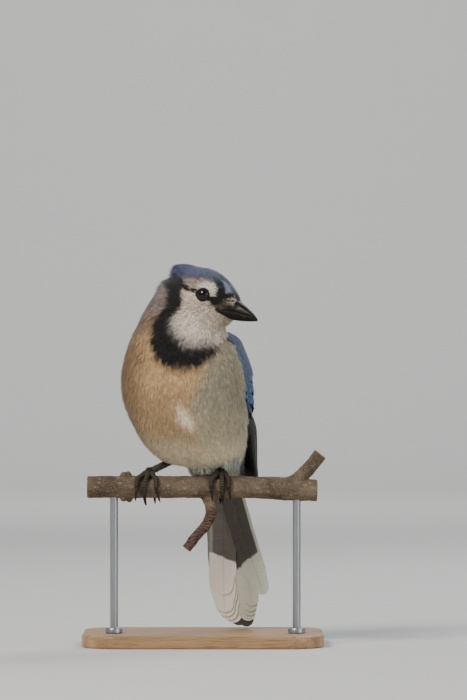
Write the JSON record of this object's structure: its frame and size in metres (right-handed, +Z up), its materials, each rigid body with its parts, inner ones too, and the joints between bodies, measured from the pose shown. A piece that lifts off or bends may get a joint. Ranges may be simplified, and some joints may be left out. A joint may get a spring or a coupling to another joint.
{
  "type": "blue jay",
  "caption": "Life-size blue jay, a still model that sits upright on a cut length of branch, head turned to its left, held up by a plain stand with a flat base and rods.",
  "frame": {"origin": "the middle of the stand base's underside, on the floor", "axes": "+Z up; the perch lies along X; the bird's breast looks towards -Y, turned 29 degrees to its own right, and its head is turned back to +X"},
  "size_m": [0.1534, 0.104, 0.2409],
  "materials": {
    "breast": "soft matt feathers, warm buff grey",
    "nape": "soft matt feathers, mauve grey with a black collar",
    "crown": "soft matt feathers, violet blue crest and pale face with a black eye line",
    "wing": "barred blue feathers with a low sheen",
    "tail": "barred blue feathers, grey below with white tips",
    "bill": "satin black horn",
    "eye": "wet glossy, very dark brown",
    "foot": "scaled, dull dark grey",
    "claw": "satin black horn",
    "bark": "rough grey brown bark",
    "base": "satin varnished wood",
    "rod": "brushed steel"
  },
  "bodies": {
    "root": {"head": "crown", "bill_upper": "bill", "bill_lower": "bill", "eye_left": "eye", "eye_right": "eye", "neck": "nape", "torso": "breast", "wing_left": "wing", "wing_right": "wing", "tail": "tail", "leg_left": "foot", "leg_right": "foot", "claw_left_1": "claw", "claw_left_2": "claw", "claw_left_3": "claw", "claw_left_4": "claw", "claw_right_1": "claw", "claw_right_2": "claw", "claw_right_3": "claw", "claw_right_4": "claw", "perch": "bark", "stand_base": "base", "stand_rod_left": "rod", "stand_rod_right": "rod"}
  },
  "joints": []
}
